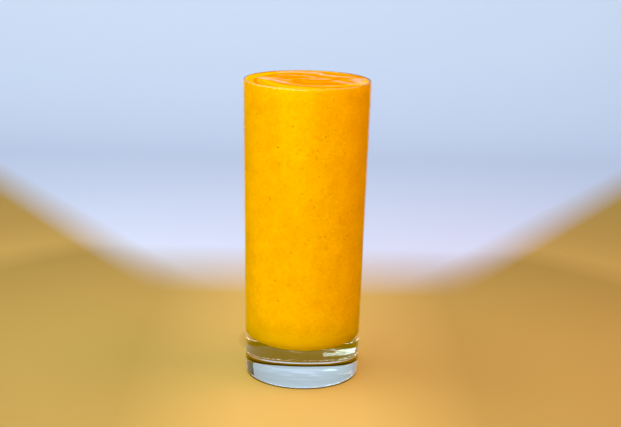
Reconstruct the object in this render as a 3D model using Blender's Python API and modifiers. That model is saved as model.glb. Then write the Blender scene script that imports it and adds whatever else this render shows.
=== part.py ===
"""A highball glass of mango juice: a turned tumbler with a heavy clear base, and the drink that fills it.

Metres, +Z up. The origin is on the glass's axis, on the surface that the glass stands on.
"""

import math

import bpy

# Driving dimensions of the glass.
GLASS_HEIGHT = 0.155
RIM_RADIUS = 0.0325
FOOT_RADIUS = 0.0295
RIM_WALL = 0.0018
FLOOR_WALL = 0.0026
FLOOR_HEIGHT = 0.0181
CORNER_ACROSS = 0.013
CORNER_HIGH = 0.0185
FOOT_ROUNDING = 0.0023
PUNT_RADIUS = 0.0239
PUNT_DEPTH = 0.0006

# Driving dimensions of the drink.
BRIM_GAP = 0.0002
CROWN_RISE = 0.0002
CROWN_WIDTH = 0.005
DIP_DEPTH = 0.0004
DIP_AZIMUTH = math.radians(8)
DIP_SPREAD = math.radians(38)
DIP_REACH = 0.009
SWIRL_ARMS = 2
SWIRL_TURN = math.radians(250)
SWIRL_PHASE = math.radians(35)
SWIRL_HEIGHT = 0.0002
CLEARANCE = 0.0003

# How finely the round forms are cut.
TURN_STEPS = 80
RIM_CUTS = 8
FOOT_CUTS = 6
CORNER_CUTS = 10
PUNT_CUTS = 5
SURFACE_RINGS = 11
SHARP_ANGLE = math.radians(40)
AXIS_MERGE = 0.00005

GLASS_COLOUR = (0.93, 0.97, 0.96, 1.0)
GLASS_ROUGHNESS = 0.02
GLASS_IOR = 1.5
JUICE_COLOUR = (1.0, 0.52, 0.01, 1.0)
JUICE_ROUGHNESS = 0.3


def clear_scene():
    for found in list(bpy.data.objects):
        bpy.data.objects.remove(found, do_unlink=True)


def outer_radius(height):
    """The outside wall is one straight taper from foot to rim."""
    return FOOT_RADIUS + (RIM_RADIUS - FOOT_RADIUS) * height / GLASS_HEIGHT


def inner_radius(height):
    """The wall thins evenly from the floor to the rim."""
    share = (height - FLOOR_HEIGHT) / (GLASS_HEIGHT - FLOOR_HEIGHT)
    return outer_radius(height) - FLOOR_WALL + (FLOOR_WALL - RIM_WALL) * share


def arc(centre, radius, start, end, cuts):
    """Points of a round, from one angle to another, as (distance from the axis, height)."""
    angles = [math.radians(start + (end - start) * i / cuts) for i in range(cuts + 1)]
    return [(centre[0] + radius * math.cos(a), centre[1] + radius * math.sin(a)) for a in angles]


def rim_arc():
    """The fire-polished rim, from the inner wall over to the outer one."""
    height = GLASS_HEIGHT - RIM_WALL / 2
    centre = (outer_radius(height) - RIM_WALL / 2, height)
    return arc(centre, RIM_WALL / 2, 180, 0, RIM_CUTS)


def foot_arc():
    """The rounded edge at the bottom of the outer wall."""
    centre = (outer_radius(FOOT_ROUNDING) - FOOT_ROUNDING, FOOT_ROUNDING)
    return arc(centre, FOOT_ROUNDING, 0, -90, FOOT_CUTS)


def cup_arc(clearance):
    """Where the hollow's floor turns up into its wall: a quarter of an ellipse, drawn in by a clearance."""
    height = FLOOR_HEIGHT + CORNER_HIGH
    centre = inner_radius(height) - CORNER_ACROSS
    angles = [math.pi / 2 * (i / CORNER_CUTS - 1) for i in range(CORNER_CUTS + 1)]
    across, high = CORNER_ACROSS - clearance, CORNER_HIGH - clearance
    return [(centre + across * math.cos(a), height + high * math.sin(a)) for a in angles]


def punt_curve():
    """The shallow dish under the base, from the ring that it stands on in to the axis."""
    points = []
    for i in range(PUNT_CUTS + 1):
        share = 1 - i / PUNT_CUTS
        points.append((PUNT_RADIUS * share, PUNT_DEPTH * (1 - share**2) ** 2))
    return points


def glass_profile():
    """Half of the glass's section: out along the floor, up the hollow, over the rim, down to the foot, and in."""
    return [(0, FLOOR_HEIGHT), *cup_arc(0), *rim_arc(), *foot_arc(), *punt_curve()]


def surface_level(distance):
    """The drink's height at a distance from the axis: a little crowned, and lowest where it meets the wall."""
    level = GLASS_HEIGHT - BRIM_GAP
    from_wall = (inner_radius(level) - CLEARANCE - distance) / CROWN_WIDTH
    return level + CROWN_RISE * (1 - max(0, 1 - from_wall) ** 2)


def juice_profile():
    """Half of the drink's section: out across its surface, down its side, and in along its bottom."""
    brim = GLASS_HEIGHT - BRIM_GAP
    edge = inner_radius(brim) - CLEARANCE
    rings = [edge * math.sin(math.pi / 2 * i / SURFACE_RINGS) for i in range(SURFACE_RINGS)]
    surface = [(distance, surface_level(distance)) for distance in rings]
    side = [(edge, brim)]
    bottom = list(reversed(cup_arc(CLEARANCE)))
    return [*surface, *side, *bottom, (0, FLOOR_HEIGHT + CLEARANCE)]


def swirl(distance, turn):
    """The low folds that pouring leaves on thick juice: two arms that wind out from the middle."""
    share = min(distance / inner_radius(GLASS_HEIGHT - BRIM_GAP), 1)
    angle = SWIRL_ARMS * (turn - SWIRL_PHASE) - SWIRL_TURN * share * 2
    return SWIRL_HEIGHT * 4 * share * (1 - share) * math.cos(angle)


def dip(distance, turn):
    """How far the surface lies lower along one side of the wall, where the folds leave it."""
    aside = (turn - DIP_AZIMUTH + math.pi) % math.tau - math.pi
    near = 1 - (inner_radius(GLASS_HEIGHT - BRIM_GAP) - distance) / DIP_REACH
    near = min(max(near, 0), 1)
    return DIP_DEPTH * math.exp(-((aside / DIP_SPREAD) ** 2)) * near**2 * (3 - 2 * near)


def turned(name, profile):
    """An object turned about the Z axis from half of its section."""
    mesh = bpy.data.meshes.new(name)
    edges = [(i, i + 1) for i in range(len(profile) - 1)]
    mesh.from_pydata([(distance, 0, height) for distance, height in profile], edges, [])
    made = bpy.data.objects.new(name, mesh)
    screw = made.modifiers.new("Turn", "SCREW")
    screw.axis = "Z"
    screw.angle = math.tau
    screw.steps = TURN_STEPS
    screw.render_steps = TURN_STEPS
    screw.use_smooth_shade = True
    screw.use_merge_vertices = True
    screw.merge_threshold = AXIS_MERGE
    return made


def applied(made, collection):
    """The object with its modifiers made part of its mesh, linked into the collection."""
    collection.objects.link(made)
    graph = bpy.context.evaluated_depsgraph_get()
    mesh = bpy.data.meshes.new_from_object(made.evaluated_get(graph))
    made.modifiers.clear()
    made.data = mesh
    mesh.shade_smooth()
    mesh.set_sharp_from_angle(angle=SHARP_ANGLE)
    return made


def finish(name, colour, roughness, transmission=0.0):
    material = bpy.data.materials.new(name)
    material.use_nodes = True
    shader = material.node_tree.nodes["Principled BSDF"]
    shader.inputs["Base Color"].default_value = colour
    shader.inputs["Roughness"].default_value = roughness
    shader.inputs["Metallic"].default_value = 0.0
    shader.inputs["IOR"].default_value = GLASS_IOR if transmission else 1.35
    shader.inputs["Transmission Weight"].default_value = transmission
    material.diffuse_color = colour
    return material


def make_glass(collection):
    glass = applied(turned("glass", glass_profile()), collection)
    glass.data.materials.append(finish("clear_glass", GLASS_COLOUR, GLASS_ROUGHNESS, 1.0))


def make_juice(collection):
    """The drink is turned to fit the hollow, and then its free surface is folded."""
    juice = applied(turned("mango_juice", juice_profile()), collection)
    lowest = GLASS_HEIGHT - BRIM_GAP - CLEARANCE
    for point in juice.data.vertices:
        if point.co.z > lowest:
            distance, turn = math.hypot(point.co.x, point.co.y), math.atan2(point.co.y, point.co.x)
            point.co.z += swirl(distance, turn) - dip(distance, turn)
    juice.data.update()
    juice.data.materials.append(finish("mango_juice", JUICE_COLOUR, JUICE_ROUGHNESS))


clear_scene()
parts = bpy.data.collections.new("mango_juice_in_glass")
bpy.context.scene.collection.children.link(parts)
make_glass(parts)
make_juice(parts)
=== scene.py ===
"""A highball glass of mango juice: the clear tumbler, the thick drink that fills it, and its pulp.

Metres, +Z up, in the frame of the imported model. The glass's axis is the Z axis, and it stands at z = 0.
"""

import math

import bpy
import numpy as np
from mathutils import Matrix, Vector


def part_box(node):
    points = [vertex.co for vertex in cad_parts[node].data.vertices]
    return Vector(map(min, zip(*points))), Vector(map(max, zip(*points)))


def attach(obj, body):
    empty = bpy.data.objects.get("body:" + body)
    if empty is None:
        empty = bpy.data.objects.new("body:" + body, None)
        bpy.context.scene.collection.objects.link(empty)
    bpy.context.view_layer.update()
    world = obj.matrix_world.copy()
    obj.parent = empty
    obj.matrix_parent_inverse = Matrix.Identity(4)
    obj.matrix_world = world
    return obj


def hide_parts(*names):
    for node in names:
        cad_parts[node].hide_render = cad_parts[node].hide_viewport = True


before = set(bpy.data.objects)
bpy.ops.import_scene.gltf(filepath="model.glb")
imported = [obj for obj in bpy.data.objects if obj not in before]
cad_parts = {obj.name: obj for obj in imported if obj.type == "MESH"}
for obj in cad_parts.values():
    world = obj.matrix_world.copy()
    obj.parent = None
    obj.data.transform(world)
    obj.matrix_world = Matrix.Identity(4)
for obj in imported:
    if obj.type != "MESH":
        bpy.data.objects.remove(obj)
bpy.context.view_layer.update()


# The tumbler
# A straight-sided highball, pressed in one piece of soda-lime glass. The wall is thin and tapers a little
# towards a heavy clear base; the rim is melted round in a flame, and the foot stands on a narrow flat ring
# around a shallow dish, whose skin is faintly rippled where the hot glass chilled against the mould.

glass_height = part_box("glass")[1][2]
rim_radius = 0.0325
foot_radius = 0.0295
rim_wall = 0.0018
floor_wall = 0.0026
floor_height = 0.0181
corner_across, corner_high = 0.013, 0.0185
foot_rounding = 0.0023
dish_radius = 0.0239
dish_depth = 0.0006
ripple_depth = 0.00004
ripple_start = 0.004
ripple_pace = 600
ripple_slant = (500, 320)
ring_radii = (0.0208, 0.0165, 0.0112)
ring_relief = 0.00001
ring_width = 0.0006
turn_steps = 240
floor_cuts, corner_cuts, wall_cuts, rim_cuts = 8, 20, 18, 16
foot_cuts, ring_cuts, dish_points = 10, 3, 120
support = 0.0004
seam_merge = 1e-6


def outer_radius(height):
    return foot_radius + (rim_radius - foot_radius) * height / glass_height


def inner_radius(height):
    share = (height - floor_height) / (glass_height - floor_height)
    return outer_radius(height) - floor_wall + (floor_wall - rim_wall) * share


def rim_face(height):
    """How far the inner face lies from the axis at a height in the rim's round."""
    rise = height - (glass_height - rim_wall / 2)
    return outer_radius(glass_height - rim_wall / 2) - rim_wall / 2 - math.sqrt(rim_wall**2 / 4 - rise**2)


def arc(centre, radius, start, end, cuts):
    """Points of a round as (distance from the axis, height), from one angle in degrees to another."""
    angles = np.radians(np.linspace(start, end, cuts + 1))
    return [(centre[0] + radius * math.cos(a), centre[1] + radius * math.sin(a)) for a in angles]


def straight(start, end, cuts):
    """Points between two ends, one of them close to each end, to keep a round's shading off the run."""
    start, end = np.array(start), np.array(end)
    near = support / np.linalg.norm(end - start)
    shares = [near, *np.linspace(0, 1, cuts + 1)[1:-1], 1 - near]
    return [tuple(start + (end - start) * share) for share in shares]


def floor_arc(proud, cuts):
    """The corner of the hollow, a quarter of an ellipse, moved out into the glass by a little."""
    height = floor_height + corner_high
    centre = inner_radius(height) - corner_across
    angles = np.linspace(-math.pi / 2, 0, cuts + 1)
    across, down = (corner_across + proud) * np.cos(angles), (corner_high + proud) * np.sin(angles)
    return list(zip(centre + across, height + down))


def tumbler_section():
    """Half of the section: out along the floor, up the hollow, over the rim, down to the foot, and in."""
    corner = floor_arc(0, corner_cuts)
    rim_height = glass_height - rim_wall / 2
    rim = arc((outer_radius(rim_height) - rim_wall / 2, rim_height), rim_wall / 2, 180, 0, rim_cuts)
    foot_centre = (outer_radius(foot_rounding) - foot_rounding, foot_rounding)
    foot = arc(foot_centre, foot_rounding, 0, -90, foot_cuts)
    shares = np.linspace(1, 0, dish_points)
    dish = [(dish_radius * s, dish_depth * (1 - s**2) ** 2) for s in shares]
    floor = straight((0, floor_height), corner[0], floor_cuts)
    hollow = straight(corner[-1], rim[0], wall_cuts)
    wall = straight(rim[-1], foot[0], wall_cuts)
    ring = straight(foot[-1], dish[0], ring_cuts)
    return [(0, floor_height), *floor, *corner, *hollow, *rim, *wall, *foot, *ring, *dish]


def node(tree, kind, inputs=(), **settings):
    """A node with its settings made and its sockets fed, each by a value or by another node's socket."""
    made = tree.nodes.new(kind)
    for name, value in settings.items():
        setattr(made, name, value)
    for socket, value in dict(inputs).items():
        if isinstance(value, bpy.types.NodeSocket):
            tree.links.new(value, made.inputs[socket])
        else:
            made.inputs[socket].default_value = value
    return made


def geometry_tree(name, sockets):
    """An empty Geometry Nodes tree with its geometry in and out and its own named inputs."""
    tree = bpy.data.node_groups.new(name, "GeometryNodeTree")
    tree.interface.new_socket("Geometry", in_out="INPUT", socket_type="NodeSocketGeometry")
    for socket, kind in sockets.items():
        tree.interface.new_socket(socket, in_out="INPUT", socket_type="NodeSocket" + kind)
    tree.interface.new_socket("Geometry", in_out="OUTPUT", socket_type="NodeSocketGeometry")
    return tree, node(tree, "NodeGroupInput").outputs


def lathe_tree():
    """Turns a section, held as a row of points, once about the Z axis and closes it at seam and poles."""
    tree, given = geometry_tree("lathe", {"Steps": "Int", "Material": "Material"})
    section = given["Geometry"]
    rows = node(tree, "GeometryNodeAttributeDomainSize", {"Geometry": section}).outputs["Point Count"]
    columns = node(tree, "ShaderNodeMath", {0: given["Steps"], 1: 1.0}, operation="ADD").outputs[0]
    grid = node(tree, "GeometryNodeMeshGrid", {"Vertices X": columns, "Vertices Y": rows}).outputs["Mesh"]
    index = node(tree, "GeometryNodeInputIndex").outputs[0]
    row = node(tree, "FunctionNodeIntegerMath", {0: index, 1: rows}, operation="MODULO").outputs[0]
    column = node(tree, "FunctionNodeIntegerMath", {0: index, 1: rows}, operation="DIVIDE_FLOOR").outputs[0]
    place = node(tree, "GeometryNodeInputPosition").outputs[0]
    read = {"Geometry": section, "Value": place, "Index": row}
    point = node(tree, "GeometryNodeSampleIndex", read, data_type="FLOAT_VECTOR").outputs[0]
    share = node(tree, "ShaderNodeMath", {0: column, 1: given["Steps"]}, operation="DIVIDE").outputs[0]
    angle = node(tree, "ShaderNodeMath", {0: share, 1: math.tau}, operation="MULTIPLY").outputs[0]
    spun = node(tree, "ShaderNodeVectorRotate", {"Vector": point, "Angle": angle}, rotation_type="Z_AXIS")
    moved = node(tree, "GeometryNodeSetPosition", {"Geometry": grid, "Position": spun.outputs[0]})
    closed = {"Geometry": moved.outputs[0], "Distance": seam_merge}
    closed = node(tree, "GeometryNodeMergeByDistance", closed)
    outward = node(tree, "GeometryNodeFlipFaces", {"Mesh": closed.outputs[0]})
    smooth = node(tree, "GeometryNodeSetShadeSmooth", {"Geometry": outward.outputs[0]}).outputs[0]
    worn = node(tree, "GeometryNodeSetMaterial", {"Geometry": smooth, "Material": given["Material"]})
    node(tree, "NodeGroupOutput", {"Geometry": worn.outputs[0]})
    return tree


def grown(name, start, tree, values):
    """The plain mesh that a tree makes from a start mesh, as a new object with the tree's inputs set."""
    held = bpy.data.objects.new(name + "_start", start)
    bpy.context.scene.collection.objects.link(held)
    modifier = held.modifiers.new(tree.name, "NODES")
    modifier.node_group = tree
    for item in tree.interface.items_tree:
        if item.in_out == "INPUT" and item.name in values:
            modifier[item.identifier] = values[item.name]
    graph = bpy.context.evaluated_depsgraph_get()
    mesh = bpy.data.meshes.new_from_object(held.evaluated_get(graph))
    bpy.data.objects.remove(held)
    if mesh.materials[0] is None:
        mesh.materials.pop(index=0)
    made = bpy.data.objects.new(name, mesh)
    bpy.context.scene.collection.objects.link(made)
    return made


def row_of_points(name, section):
    mesh = bpy.data.meshes.new(name)
    edges = [(i, i + 1) for i in range(len(section) - 1)]
    mesh.from_pydata([(distance, 0, height) for distance, height in section], edges, [])
    return mesh


def points_of(piece):
    places = np.empty(len(piece.data.vertices) * 3)
    piece.data.vertices.foreach_get("co", places)
    return places.reshape(-1, 3)


def put_points(piece, places):
    piece.data.vertices.foreach_set("co", places.ravel())
    piece.data.update()


def new_material(name):
    material = bpy.data.materials.new(name)
    material.use_nodes = True
    tree = material.node_tree
    place = node(tree, "ShaderNodeTexCoord").outputs["Object"]
    return material, tree, tree.nodes["Principled BSDF"], place


def soda_lime_glass():
    """Clear pressed glass, with the faint unevenness that the mould leaves on its skin."""
    material, tree, shader, place = new_material("soda_lime_glass")
    shader.inputs["Base Color"].default_value = (0.985, 0.995, 0.99, 1)
    shader.inputs["Roughness"].default_value = 0.0
    shader.inputs["IOR"].default_value = 1.5
    shader.inputs["Transmission Weight"].default_value = 1.0
    waves = node(tree, "ShaderNodeTexNoise", {"Vector": place, "Scale": 90.0, "Detail": 1.0})
    lift = {"Height": waves.outputs[0], "Strength": 0.02, "Distance": 0.002}
    bump = node(tree, "ShaderNodeBump", lift)
    tree.links.new(bump.outputs[0], shader.inputs["Normal"])
    return material


def rippled(places):
    """Low, uneven rings on the skin of the dish under the foot."""
    x, y, z = places.T
    distance = np.hypot(x, y)
    under = (z < floor_height / 2) & (distance < dish_radius)
    turn = np.arctan2(y, x)
    fade = np.clip(1 - distance / dish_radius, 0, 1) * np.clip(distance / ripple_start, 0, 1)
    wave = np.sin(distance * ripple_pace + 1.3 * np.sin(3 * turn))
    wave += np.sin(x * ripple_slant[0] + y * ripple_slant[1])
    lift = ripple_depth * fade * wave
    for number, radius in enumerate(ring_radii):
        worn = 0.6 + 0.4 * np.sin(turn * (2 + number) + 1.7 * number)
        lift += ring_relief * worn * np.exp(-(((distance - radius) / ring_width) ** 2))
    places[under, 2] += lift[under]
    return places


lathe = lathe_tree()
tumbler_start = row_of_points("tumbler_section", tumbler_section())
glass_material = soda_lime_glass()
tumbler = grown("tumbler", tumbler_start, lathe, {"Steps": turn_steps, "Material": glass_material})
put_points(tumbler, rippled(points_of(tumbler)))
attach(tumbler, "root")
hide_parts("glass")


# The mango juice
# Ripe mango pulp pressed and thinned only a little, so that it pours slowly and hides what is behind it.
# It fills the hollow to the brim, stands a little crowned against the wall, and keeps the low folds of the
# pour, with paler froth wound into them that is partly painted reflection. The folds' troughs carry painted
# shade, and a painted sheen runs along the wall. Its skin against the glass is dull, with a painted highlight
# down the front and painted light on its lower edge; its free surface is wet.

brim_gap = 0.0002
brim = glass_height - brim_gap
crown_rise = 0.0002
crown_width = 0.005
dip_depth = 0.0004
dip_azimuth = math.radians(8)
dip_spread = math.radians(38)
dip_reach = 0.009
into_wall = 0.00015
swirl_arms = 2
swirl_turn = math.radians(250)
swirl_phase = math.radians(35)
swirl_height = 0.0002
surface_rings = 64
lip_points, side_cuts = 5, 30
level_slack = 1e-6
surface_margin, facing_up = 0.002, 0.5
fold_tone, fold_waves, fold_start = 0.6, 2, 0.8
wrinkle_tone, wrinkle_waves, wrinkle_run = 0.4, 5, 400
# Where a painted highlight runs down the front of the juice, and where its lower edge is painted lighter as
# painted light.
highlight_side, highlight_reach = math.radians(-9), (0.0284, 0.0304)
lit_low_reach = (floor_height + 0.014, floor_height + 0.004)
# A painted sheen: a paler ring along the wall of the surface, wider towards the front left.
sheen_ring_width, sheen_lean, sheen_side = 0.0065, 0.003, math.radians(210)
sheen_fade = 0.004
wall_tone = ((0.89, 0.42, 0.0008), (1.0, 0.54, 0.0012))
wall_highlight_tone = ((0.91, 0.48, 0.0008), (1.0, 0.60, 0.0012))
wall_lit_low_tone = (1.0, 0.54, 0.001, 1)
surface_tone = ((0.74, 0.25, 0.0006), (0.80, 0.31, 0.001))
surface_sheen_tone = ((0.78, 0.39, 0.0008), (0.83, 0.45, 0.0012))
# Painted shade: the troughs of the folds are painted darker.
surface_sunk_shade_tone = (0.60, 0.19, 0.0006, 1)
# Froth, partly a painted reflection on the folds.
froth_and_reflection_tone = (0.80, 0.47, 0.28, 1)
streak_wobble, streak_waves = 0.8, 0.3
# Each streak of froth, which is partly a painted reflection: half its width, how thick the froth lies, and
# the line that it follows, in millimetres. The wobble bends the lines, by so many millimetres and so many
# radians to a millimetre.
froth_and_reflection_streaks = (
    (2.0, 1.0, ((-22.5, 2), (-20.7, -1.1), (-16, -7.2), (-11.4, -13.3))),
    (1.5, 0.4, ((-11.4, -13.3), (-5.9, -19.1), (1, -21))),
    (1.4, 1.0, ((3, 23.5), (6.6, 21.5), (7.6, 16.3), (10.7, 13.1), (14.2, 10), (19.3, 8.9), (22.3, 9.3))),
    (2.0, 0.8, ((-13, 22.5), (-8.4, 23.8), (-1.2, 24.2), (5, 23.5))),
    (2.5, 0.6, ((14.4, -6.9), (18.8, -9.7), (21.8, -11))),
    (3.0, 0.9, ((26.5, -8), (25.5, -0.7), (26.5, 6))),
    (1.3, 0.55, ((-3.5, 12.7), (2, 8), (6.2, 4.6), (9.5, 3.6))),
    (1.1, 0.5, ((-2, 2.2), (4.5, 0.6), (12, 0.8))),
    (1.2, 0.55, ((-22, 4.5), (-16, 0.4), (-9.5, -3.8))),
    (1.4, 0.45, ((3, -20.4), (9.5, -20.8), (16, -18.6))),
    (1.2, 0.45, ((-15.5, 13.2), (-10.5, 12.2), (-6, 9.2))),
)


def surface_level(distance):
    from_wall = (rim_face(brim) - distance) / crown_width
    return brim + crown_rise * (1 - np.clip(1 - from_wall, 0, 1) ** 2)


def winding(x, y):
    """How far out a place lies, from 0 to 1, and how far round the swirl's arms, as an angle."""
    share = np.clip(np.hypot(x, y) / rim_face(brim), 0, 1)
    return share, swirl_arms * (np.arctan2(y, x) - swirl_phase) - swirl_turn * share * 2


def surface_lift(x, y):
    """The folds of the pour, and the side where they leave the surface a little lower."""
    share, wound = winding(x, y)
    fold = swirl_height * 4 * share * (1 - share) * np.cos(wound)
    aside = (np.arctan2(y, x) - dip_azimuth + math.pi) % math.tau - math.pi
    near = np.clip(1 - (rim_face(brim) - np.hypot(x, y)) / dip_reach, 0, 1)
    return fold - dip_depth * np.exp(-((aside / dip_spread) ** 2)) * near**2 * (3 - 2 * near)


def juice_section():
    """Half of the section: out across the surface, down the side just inside the wall, in along the floor."""
    rings = np.sin(np.linspace(0, math.pi / 2, surface_rings + 1)) * rim_face(brim)
    surface = list(zip(rings, surface_level(rings)))
    heights = np.linspace(brim, glass_height - rim_wall / 2, lip_points)
    lip = [(rim_face(height) + into_wall, height) for height in heights]
    corner = list(reversed(floor_arc(into_wall, corner_cuts)))
    side = straight(lip[-1], corner[0], side_cuts)
    bottom = (0, floor_height - into_wall)
    floor = straight(corner[-1], bottom, floor_cuts)
    return [*surface, *lip, *side, *corner, *floor, bottom]


def fold_share(x, y):
    """Where the folds crest and where they sink, from 1 to -1, with finer wrinkles that run along them."""
    wound = winding(x, y)[1]
    folds = fold_tone * np.cos(wound * fold_waves + fold_start)
    return folds + wrinkle_tone * np.sin(wound * wrinkle_waves + wrinkle_run * x)


def froth_and_reflection_share(x, y):
    """How much of the surface is froth, partly a painted reflection, at a place, from 0 to 1."""
    places, most = np.stack([x, y], -1) * 1000, np.zeros_like(x)
    places = places + streak_wobble * np.sin(places[:, ::-1] * streak_waves + 1)
    for half_width, thickness, line in froth_and_reflection_streaks:
        for start, end in zip(np.array(line, float), np.array(line[1:], float)):
            run = end - start
            along = np.clip((places - start) @ run / (run @ run), 0, 1)
            away = np.linalg.norm(places - start - along[:, None] * run, axis=1)
            most = np.maximum(most, thickness * np.exp(-((away / half_width) ** 2)))
    return most


def sheen_share(x, y):
    """How much of a place lies in the painted sheen, a paler ring along the wall, from 0 to 1."""
    width = sheen_ring_width + sheen_lean * np.cos(np.arctan2(y, x) - sheen_side)
    inside = rim_face(brim) - np.hypot(x, y)
    share = np.clip((width - inside) / sheen_fade + 0.5, 0, 1)
    return share**2 * (3 - 2 * share)


def tones(tree, factor, low, high, start=0.3, end=0.7):
    """A colour that runs from low to high as the factor goes from start to end."""
    ramp = node(tree, "ShaderNodeValToRGB", {"Fac": factor})
    for element, position, colour in zip(ramp.color_ramp.elements, (start, end), (low, high)):
        element.position, element.color = position, (*colour, 1)
    return ramp.outputs[0]


def blend(tree, factor, low, high):
    """A colour that goes from low at a factor of 0 to high at 1."""
    return node(tree, "ShaderNodeMix", {0: factor, 6: low, 7: high}, data_type="RGBA").outputs[2]


def share_of(tree, value, start, end, low=0.0, high=1.0, **settings):
    """A number that runs from low to high as the value goes from start to end, and stays within them."""
    run = {"Value": value, "From Min": start, "From Max": end, "To Min": low, "To Max": high}
    return node(tree, "ShaderNodeMapRange", run, **settings).outputs[0]


def pulp_clouds(tree, place):
    """Slow clouds of thicker pulp with a fine grain in them."""
    slow = node(tree, "ShaderNodeTexNoise", {"Vector": place, "Scale": 130.0, "Detail": 3.0}).outputs[0]
    grain = {"Vector": place, "Scale": 650.0, "Detail": 3.0, "Roughness": 0.65}
    fine = node(tree, "ShaderNodeTexNoise", grain).outputs[0]
    return node(tree, "ShaderNodeMix", {0: 0.6, 2: slow, 3: fine}, data_type="FLOAT").outputs[0]


def juice_behind_glass():
    """The juice against the wall: clouded, with a painted highlight down one side, and painted light of one
    tone where it rounds in below.
    """
    material, tree, shader, place = new_material("juice_behind_glass")
    clouds = pulp_clouds(tree, place)
    plain_side = tones(tree, clouds, *wall_tone, 0.36, 0.64)
    # A painted highlight down the front of the juice.
    highlit_side = tones(tree, clouds, *wall_highlight_tone, 0.36, 0.64)
    aside = {0: place, 1: (math.sin(highlight_side), -math.cos(highlight_side), 0)}
    facing = node(tree, "ShaderNodeVectorMath", aside, operation="DOT_PRODUCT").outputs["Value"]
    paler = share_of(tree, facing, *highlight_reach, interpolation_type="SMOOTHSTEP")
    # Painted light of one tone on the lower edge, where the juice rounds in below.
    height = node(tree, "ShaderNodeSeparateXYZ", {"Vector": place}).outputs["Z"]
    low = share_of(tree, height, *lit_low_reach, interpolation_type="SMOOTHSTEP")
    colour = blend(tree, low, blend(tree, paler, plain_side, highlit_side), wall_lit_low_tone)
    tree.links.new(colour, shader.inputs["Base Color"])
    shader.inputs["Roughness"].default_value = 0.7
    shader.inputs["Specular IOR Level"].default_value = 0.0
    return material


def juice_wet_surface():
    """The free surface: deeper orange where it is clear of froth, which is partly painted reflection, with
    painted shade in the folds' troughs, a painted sheen along the wall and a grain of pulp under a wet skin.
    """
    material, tree, shader, place = new_material("juice_wet_surface")
    clouds = pulp_clouds(tree, place)
    middle = tones(tree, clouds, *surface_tone, 0.4, 0.6)
    ring = tones(tree, clouds, *surface_sheen_tone)
    # The ring attribute marks a painted sheen along the wall.
    sheen_by_wall = node(tree, "ShaderNodeAttribute", attribute_name="ring").outputs["Fac"]
    fold = node(tree, "ShaderNodeAttribute", attribute_name="fold").outputs["Fac"]
    # Painted shade: the folds' troughs are painted darker.
    sunk_shade = share_of(tree, fold, 0.3, -1.0)
    clear = blend(tree, sunk_shade, blend(tree, sheen_by_wall, middle, ring), surface_sunk_shade_tone)
    # The froth is partly a painted reflection.
    streaks = node(tree, "ShaderNodeAttribute", attribute_name="froth_and_reflection").outputs["Fac"]
    broken = node(tree, "ShaderNodeTexNoise", {"Vector": place, "Scale": 420.0, "Detail": 3.0}).outputs[0]
    patches = share_of(tree, broken, 0.22, 0.5)
    froth_and_reflection = node(tree, "ShaderNodeMath", {0: streaks, 1: patches}, operation="MULTIPLY").outputs[0]
    tree.links.new(blend(tree, froth_and_reflection, clear, froth_and_reflection_tone), shader.inputs["Base Color"])
    shader.inputs["IOR"].default_value = 1.35
    shader.inputs["Specular IOR Level"].default_value = 0.0
    shader.inputs["Coat Weight"].default_value = 0.06
    shader.inputs["Coat Roughness"].default_value = 0.08
    shader.inputs["Coat IOR"].default_value = 1.35
    tree.links.new(share_of(tree, broken, 0.0, 1.0, 0.22, 0.42), shader.inputs["Roughness"])
    bump = node(tree, "ShaderNodeBump", {"Height": broken, "Strength": 0.35, "Distance": 0.0003})
    tree.links.new(bump.outputs[0], shader.inputs["Normal"])
    return material


juice_start = row_of_points("juice_section", juice_section())
juice = grown("mango_juice_fill", juice_start, lathe, {"Steps": turn_steps, "Material": juice_behind_glass()})
juice_places = points_of(juice)
on_top = juice_places[:, 2] > brim - level_slack
juice_places[on_top, 2] += surface_lift(juice_places[on_top, 0], juice_places[on_top, 1])
put_points(juice, juice_places)
# The froth is partly a painted reflection, the ring is a painted sheen, and the fold sets painted shade in
# the troughs.
for name, share_at in (("froth_and_reflection", froth_and_reflection_share), ("ring", sheen_share), ("fold", fold_share)):
    laid = juice.data.attributes.new(name, "FLOAT", "POINT")
    laid.data.foreach_set("value", share_at(juice_places[:, 0], juice_places[:, 1]) * on_top)
juice.data.materials.append(juice_wet_surface())
for face in juice.data.polygons:
    face.material_index = int(face.center.z > brim - surface_margin and face.normal.z > facing_up)
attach(juice, "root")
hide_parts("mango_juice")


# The pulp
# Short soft fibres and crumbs of the fruit that the press lets through. They hang in the juice, and those
# that lie against the wall show as fleck after fleck, a little paler or deeper than the juice round them.

fleck_half_length = 0.0009
fleck_smallest = 0.35
fleck_breadth = 0.6
fleck_half_thickness = 0.00009
fleck_crowd = 42000.0
fleck_seed = 7
fleck_tone = ((0.86, 0.34, 0.0008), (1.0, 0.60, 0.003))
sheet_turns, sheet_cuts, sheet_rows = 120, 6, 5
below_brim = 0.001


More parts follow.
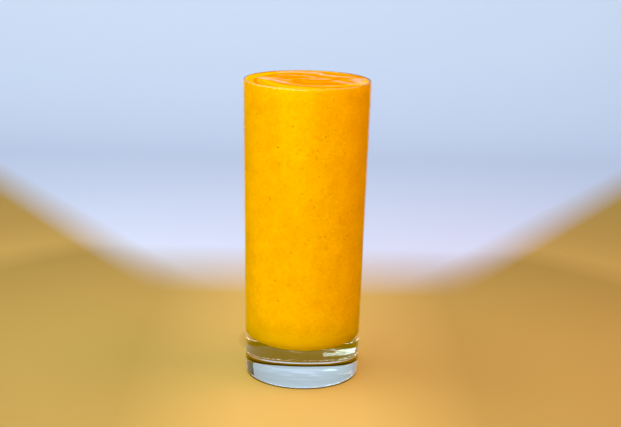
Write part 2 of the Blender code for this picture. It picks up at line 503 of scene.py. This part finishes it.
def fleck_tree():
    """Scatters small flat flecks over a surface, each turned its own way and of its own size."""
    sizes = dict.fromkeys(("Half Length", "Smallest", "Breadth", "Half Thickness", "Crowd"), "Float")
    tree, given = geometry_tree("flecks", {**sizes, "Seed": "Int", "Material": "Material"})
    spread = {"Mesh": given["Geometry"], "Density": given["Crowd"], "Seed": given["Seed"]}
    points = node(tree, "GeometryNodeDistributePointsOnFaces", spread).outputs
    drawn = {3: math.tau, "Seed": given["Seed"]}
    turn = node(tree, "FunctionNodeRandomValue", drawn, data_type="FLOAT").outputs[1]
    about = node(tree, "ShaderNodeCombineXYZ", {"Z": turn}).outputs[0]
    spun = node(tree, "FunctionNodeRotateRotation", {0: points["Rotation"], 1: about}, rotation_space="LOCAL")
    size = node(tree, "FunctionNodeRandomValue", {2: given["Smallest"], 3: 1.0}, data_type="FLOAT").outputs[1]
    length = node(tree, "ShaderNodeMath", {0: size, 1: given["Half Length"]}, operation="MULTIPLY").outputs[0]
    breadth = node(tree, "ShaderNodeMath", {0: length, 1: given["Breadth"]}, operation="MULTIPLY").outputs[0]
    shape = {"X": length, "Y": breadth, "Z": given["Half Thickness"]}
    shape = node(tree, "ShaderNodeCombineXYZ", shape).outputs[0]
    fleck = node(tree, "GeometryNodeMeshIcoSphere", {"Radius": 1.0, "Subdivisions": 1}).outputs["Mesh"]
    held = {"Points": points["Points"], "Instance": fleck, "Rotation": spun.outputs[0], "Scale": shape}
    set_out = node(tree, "GeometryNodeInstanceOnPoints", held).outputs[0]
    real = node(tree, "GeometryNodeRealizeInstances", {"Geometry": set_out}).outputs[0]
    smooth = node(tree, "GeometryNodeSetShadeSmooth", {"Geometry": real}).outputs[0]
    worn = node(tree, "GeometryNodeSetMaterial", {"Geometry": smooth, "Material": given["Material"]})
    node(tree, "NodeGroupOutput", {"Geometry": worn.outputs[0]})
    return tree


def side_sheet():
    """The juice's side as an open sheet of faces, for the flecks to lie on."""
    top = brim - below_brim
    corner = list(reversed(floor_arc(into_wall, sheet_cuts)))[:sheet_rows]
    section = [(inner_radius(top) + into_wall, top), *corner]
    turns = np.linspace(0, math.tau, sheet_turns + 1)[:-1]
    places = [(r * math.cos(t), r * math.sin(t), z) for r, z in section for t in turns]
    faces = []
    for upper in range(0, (len(section) - 1) * sheet_turns, sheet_turns):
        lower = upper + sheet_turns
        for i in range(sheet_turns):
            after = (i + 1) % sheet_turns
            faces.append((upper + i, lower + i, lower + after, upper + after))
    mesh = bpy.data.meshes.new("juice_side")
    mesh.from_pydata(places, [], faces)
    return mesh


def mango_pulp():
    material, tree, shader, place = new_material("mango_pulp")
    patch = node(tree, "ShaderNodeTexNoise", {"Vector": place, "Scale": 900.0}).outputs[0]
    tree.links.new(tones(tree, patch, *fleck_tone, 0.36, 0.6), shader.inputs["Base Color"])
    shader.inputs["Roughness"].default_value = 0.8
    shader.inputs["Specular IOR Level"].default_value = 0.0
    return material


fleck_inputs = {
    "Half Length": fleck_half_length,
    "Smallest": fleck_smallest,
    "Breadth": fleck_breadth,
    "Half Thickness": fleck_half_thickness,
    "Crowd": fleck_crowd,
    "Seed": fleck_seed,
    "Material": mango_pulp(),
}
pulp = grown("pulp_flecks", side_sheet(), fleck_tree(), fleck_inputs)
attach(pulp, "root")


# The studio
# A sweep of paper, tan where the glass stands and cool behind it. It carries a painted shadow right behind
# the foot, a painted contact shadow in a ring under the foot's edge and painted shade at its far right end,
# which show through the clear base, and painted shade beside the glass and high up. To the front left stands
# a greenish window of two panes, with a low wide one beside it, and in front stand a low fill and a high one.
# A near panel on each side lights the edges, the right one red, and a bluish sky is all round.

sweep_reach = 0.55
sweep_radius = 0.5
sweep_top = 1.6
sweep_half_width = 4.5
sweep_front = -2.5
sweep_cuts = 24
# The foot tone is a painted shadow behind the foot.
paper_foot_shadow = (0.17, 0.115, 0.005)
paper_near = (0.57, 0.39, 0.12)
paper_away = (0.46, 0.29, 0.09)
paper_behind = (0.64, 0.72, 0.86)
paper_high = (0.56, 0.71, 0.86)
sky = (0.66, 0.70, 0.84, 1)
# Where one tone of the paper gives way to the next, from a start to an end in metres.
near_to_away = (0.14, 0.36)
# The foot, beside, contact, end and high entries place painted shadow and painted shade.
foot_shadow_middle, foot_shadow_to_near = (-0.003, 0.046, 0), (0.019, 0.034)
beside_shade_start, beside_shade_end, beside_shade = (0.03, 0.09), (0.15, 0.3), 0.72
contact_shadow_edge, contact_shade = (0.0284, 0.0292), 0.2
cool_start, cool_height = (0.13, 0.24), (0.12, 0.25)
strip_spread, strip_edge = -0.6, (-0.03, 0.02)
behind_to_high = (0.12, 0.3)
end_shade_start, end_shade_height, end_shade = (1.15, 1.22), (0.2, 0.3), 0.03
high_start, high_shade = (0.28, 0.34), 0.84
# Each panel's azimuth and elevation in degrees, then its distance, its width and height, its radiance and
# its colour.
panels = {
    "window": (-18.5, 12.4, 1.2, (0.19, 0.126), 12.5, (0.72, 1.0, 0.86)),
    "window_top": (-22, 24.75, 1.2, (0.337, 0.12), 2.0, (0.95, 1.0, 1.0)),
    "window_side": (-42, 4.5, 1.2, (0.9, 0.27), 14, (0.78, 1.0, 0.8)),
    "front": (8, 2, 1.2, (1.1, 0.17), 12, (1.0, 0.943, 0.8)),
    "front_top": (-5, 34, 1.2, (0.9, 0.25), 4, (1.0, 0.95, 0.8)),
    "near_left": (-90, 50, 0.35, (0.3, 0.3), 2.5, (1.0, 0.96, 0.85)),
    "near_right": (84, 50, 0.35, (0.3, 0.3), 3.4, (1.0, 0.40, 0.36)),
}


def sweep_sheet():
    bend = np.radians(np.linspace(0, 90, sweep_cuts + 1))
    run = [(sweep_front, 0.0)]
    run += [(sweep_reach + sweep_radius * math.sin(a), sweep_radius * (1 - math.cos(a))) for a in bend]
    run.append((sweep_reach + sweep_radius, sweep_top))
    places = [(side * sweep_half_width, y, z) for y, z in run for side in (-1, 1)]
    faces = [(2 * i, 2 * i + 1, 2 * i + 3, 2 * i + 2) for i in range(len(run) - 1)]
    mesh = bpy.data.meshes.new("sweep")
    mesh.from_pydata(places, [], faces)
    mesh.shade_smooth()
    made = bpy.data.objects.new("sweep", mesh)
    bpy.context.scene.collection.objects.link(made)
    return made


def sweep_paper():
    material, tree, shader, place = new_material("sweep_paper")

    def number(operation, *values):
        return node(tree, "ShaderNodeMath", dict(enumerate(values)), operation=operation).outputs[0]

    def distance_from(middle):
        ends = {0: place, 1: middle}
        return node(tree, "ShaderNodeVectorMath", ends, operation="DISTANCE").outputs["Value"]

    def scaled(colour, factor):
        return node(tree, "ShaderNodeVectorMath", {0: colour, "Scale": factor}, operation="SCALE").outputs[0]

    x, y, z = node(tree, "ShaderNodeSeparateXYZ", {"Vector": place}).outputs
    aside = number("ABSOLUTE", x)
    away = distance_from((0, 0, 0))
    warm = blend(tree, share_of(tree, away, *near_to_away), (*paper_near, 1), (*paper_away, 1))
    # A painted shadow: a dark spot right behind the foot.
    out_of_foot_shadow = share_of(tree, distance_from(foot_shadow_middle), *foot_shadow_to_near)
    warm = blend(tree, out_of_foot_shadow, (*paper_foot_shadow, 1), warm)
    # Painted shade on the paper beside the glass.
    beside = share_of(tree, aside, *beside_shade_start, 1.0, beside_shade)
    beside = number("MAXIMUM", beside, share_of(tree, away, *beside_shade_end))
    # A painted contact shadow: a thin dark ring under the foot's edge.
    under = share_of(tree, away, *contact_shadow_edge, contact_shade, 1.0)
    warm = scaled(warm, number("MULTIPLY", beside, under))
    strip = share_of(tree, number("MULTIPLY_ADD", y, strip_spread, aside), *strip_edge, 1.0, 0.0)
    cool = number("MAXIMUM", strip, share_of(tree, z, *cool_height))
    cool = number("MULTIPLY", share_of(tree, y, *cool_start), cool)
    behind = blend(tree, share_of(tree, z, *behind_to_high), (*paper_behind, 1), (*paper_high, 1))
    # Painted shade at the far right end of the sweep, and below it painted shade high up.
    end = number("MULTIPLY", share_of(tree, x, *end_shade_start), share_of(tree, z, *end_shade_height))
    end = share_of(tree, end, 0.0, 1.0, 1.0, end_shade)
    shade = number("MULTIPLY", share_of(tree, z, *high_start, 1.0, high_shade), end)
    tree.links.new(scaled(blend(tree, cool, warm, behind), shade), shader.inputs["Base Color"])
    shader.inputs["Roughness"].default_value = 0.9
    shader.inputs["Specular IOR Level"].default_value = 0.1
    return material


def area_light(name, azimuth, elevation, distance, size, radiance, colour):
    """A soft panel that faces the middle of the glass. Azimuth 0 is in front of it, and -90 on its left."""
    turn, rise = math.radians(azimuth), math.radians(elevation)
    data = bpy.data.lights.new(name, "AREA")
    data.shape = "RECTANGLE"
    data.size, data.size_y = size
    data.energy = radiance * math.pi * size[0] * size[1]
    data.color = colour
    light = bpy.data.objects.new(name, data)
    middle = glass_height / 2
    across = distance * math.cos(rise)
    light.location = (across * math.sin(turn), -across * math.cos(turn), middle + distance * math.sin(rise))
    light.rotation_euler = (math.pi / 2 - rise, 0, turn)
    bpy.context.scene.collection.objects.link(light)
    return light


sweep = sweep_sheet()
sweep.data.materials.append(sweep_paper())
for name, panel in panels.items():
    area_light(name, *panel)

world = bpy.data.worlds.new("studio")
world.use_nodes = True
world.node_tree.nodes["Background"].inputs["Color"].default_value = sky
world.node_tree.nodes["Background"].inputs["Strength"].default_value = 1.0
bpy.context.scene.world = world
film = bpy.context.scene.view_settings
film.view_transform = "Standard"
film.use_curve_mapping = True
film.curve_mapping.black_level = (0.005, 0.005, 0.035)
film.curve_mapping.update()


# The camera
# It stands two thirds of a metre in front of the glass's axis, looks down on it by about fourteen degrees,
# and leans a little over a degree to one side.

frame_width, focal_length = 621, 1350
camera_distance = 0.675
camera_height = 0.2557
look_down = math.radians(14.169)
look_aside = math.radians(0.2555)
lean = math.radians(1.25)

view = bpy.data.cameras.new("camera")
view.sensor_width = 36.0
view.lens = view.sensor_width * focal_length / frame_width
view.clip_start = 0.01
camera = bpy.data.objects.new("camera", view)
camera.location = (0, -camera_distance, camera_height)
camera.rotation_mode = "QUATERNION"
turned_aside = Matrix.Rotation(-look_aside, 3, "Z")
tipped_down = Matrix.Rotation(math.pi / 2 - look_down, 3, "X")
leant_over = Matrix.Rotation(lean, 3, "Z")
camera.rotation_quaternion = (turned_aside @ tipped_down @ leant_over).to_quaternion()
bpy.context.scene.collection.objects.link(camera)
bpy.context.scene.camera = camera
